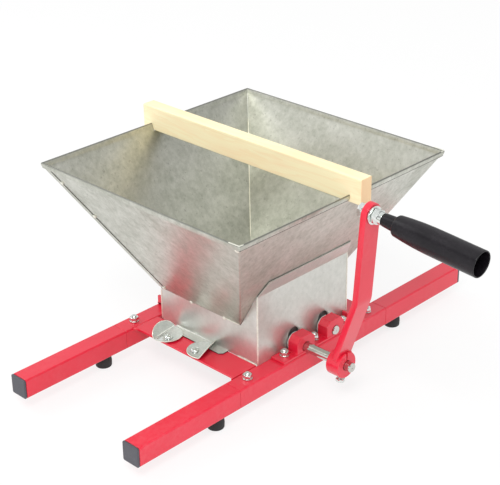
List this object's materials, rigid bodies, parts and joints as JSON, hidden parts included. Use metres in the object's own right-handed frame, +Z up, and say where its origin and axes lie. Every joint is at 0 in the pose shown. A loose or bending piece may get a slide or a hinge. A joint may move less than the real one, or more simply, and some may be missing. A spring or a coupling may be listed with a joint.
{
  "type": "hand cranked fruit mill",
  "caption": "Fruit mill with a flared sheet-metal hopper over geared toothed rollers, a bent crank with turning grip, and a long red tube frame on rubber feet.",
  "frame": {"origin": "on the ground, midway along the rails and under the middle of the whole breadth from the batten end to the grip end", "axes": "+X along the roller shafts towards the crank, +Y along the rails away from the drive shaft side, +Z up"},
  "size_m": [0.5362, 0.58, 0.2785],
  "materials": {
    "red_paint": "glossy powder coat",
    "sheet_steel": "mottled mill finish, faintly brushed",
    "zinc": "bright zinc plate",
    "bright_steel": "ground bar",
    "aluminium": "as cast, machined tips",
    "cast_steel": "oiled",
    "pine": "planed, unvarnished",
    "rubber": "matte",
    "cap_plastic": "matte, fine grained",
    "grip_plastic": "satin moulded"
  },
  "bodies": {
    "frame": {"rail_crank": "red_paint", "bearing_bracket_crank": "red_paint", "bracket_bolt_crank_1": "zinc", "bracket_bolt_crank_2": "zinc", "bracket_bolt_crank_3": "zinc", "bush_crank_drive": "bright_steel", "bush_crank_idler": "bright_steel", "chamber_wall_crank": "sheet_steel", "rail_far": "red_paint", "bearing_bracket_far": "red_paint", "bracket_bolt_far_1": "zinc", "bracket_bolt_far_2": "zinc", "bracket_bolt_far_3": "zinc", "bush_far_drive": "bright_steel", "bush_far_idler": "bright_steel", "chamber_wall_far": "sheet_steel", "crossbar_near": "red_paint", "chamber_wall_near": "sheet_steel", "crossbar_rear": "red_paint", "chamber_wall_rear": "sheet_steel", "leg_crank_near": "red_paint", "end_cap_crank_near": "cap_plastic", "foot_crank_near": "rubber", "corner_bolt_crank_near": "zinc", "leg_crank_rear": "red_paint", "end_cap_crank_rear": "cap_plastic", "foot_crank_rear": "rubber", "corner_bolt_crank_rear": "zinc", "leg_far_near": "red_paint", "end_cap_far_near": "cap_plastic", "foot_far_near": "rubber", "corner_bolt_far_near": "zinc", "leg_far_rear": "red_paint", "end_cap_far_rear": "cap_plastic", "foot_far_rear": "rubber", "corner_bolt_far_rear": "zinc", "latch_screw_near_left": "zinc", "latch_screw_near_right": "zinc", "latch_screw_far_left": "zinc", "latch_screw_far_right": "zinc", "hopper": "sheet_steel"},
    "crank_line": {"drive_shaft": "bright_steel", "drive_roller": "aluminium", "drive_gear": "cast_steel", "crank_arm": "red_paint", "hub_bolt": "zinc", "grip_spindle": "zinc", "rear_nut": "zinc", "front_washer": "zinc", "front_nut": "zinc"},
    "idler_line": {"idler_shaft": "bright_steel", "idler_roller": "aluminium", "idler_gear": "cast_steel"},
    "grip": {"grip": "grip_plastic"},
    "batten": {"batten": "pine"},
    "latch_near_left": {"latch_near_left": "zinc"},
    "latch_near_right": {"latch_near_right": "zinc"},
    "latch_far_left": {"latch_far_left": "zinc"},
    "latch_far_right": {"latch_far_right": "zinc"}
  },
  "joints": [
    {"name": "crank_turn", "type": "hinge", "parent": "frame", "child": "crank_line", "pos_m": [-0.08162, -0.018, 0.049], "axis": [-1, 0, 0], "continuous": true},
    {"name": "idler_turn", "type": "hinge", "parent": "frame", "child": "idler_line", "pos_m": [-0.08162, 0.0355, 0.049], "axis": [-1, 0, 0], "continuous": true},
    {"name": "grip_spin", "type": "hinge", "parent": "crank_line", "child": "grip", "pos_m": [0.11998, -0.018, 0.254], "axis": [0.9972, 0, -0.075], "continuous": true},
    {"name": "batten_lift", "type": "slide", "parent": "frame", "child": "batten", "axis": [0, 0, 1], "range_m": [0, 0.06]},
    {"name": "latch_near_left_turn", "type": "hinge", "parent": "frame", "child": "latch_near_left", "pos_m": [-0.11562, -0.109, 0.0429], "axis": [0, 0, 1], "continuous": true},
    {"name": "latch_near_right_turn", "type": "hinge", "parent": "frame", "child": "latch_near_right", "pos_m": [-0.06962, -0.109, 0.0429], "axis": [0, 0, 1], "continuous": true},
    {"name": "latch_far_left_turn", "type": "hinge", "parent": "frame", "child": "latch_far_left", "pos_m": [-0.11562, 0.109, 0.0429], "axis": [0, 0, 1], "continuous": true},
    {"name": "latch_far_right_turn", "type": "hinge", "parent": "frame", "child": "latch_far_right", "pos_m": [-0.06962, 0.109, 0.0429], "axis": [0, 0, 1], "continuous": true}
  ],
  "couplings": [
    {"joint": "idler_turn", "follows": "crank_turn", "ratio": -1}
  ]
}
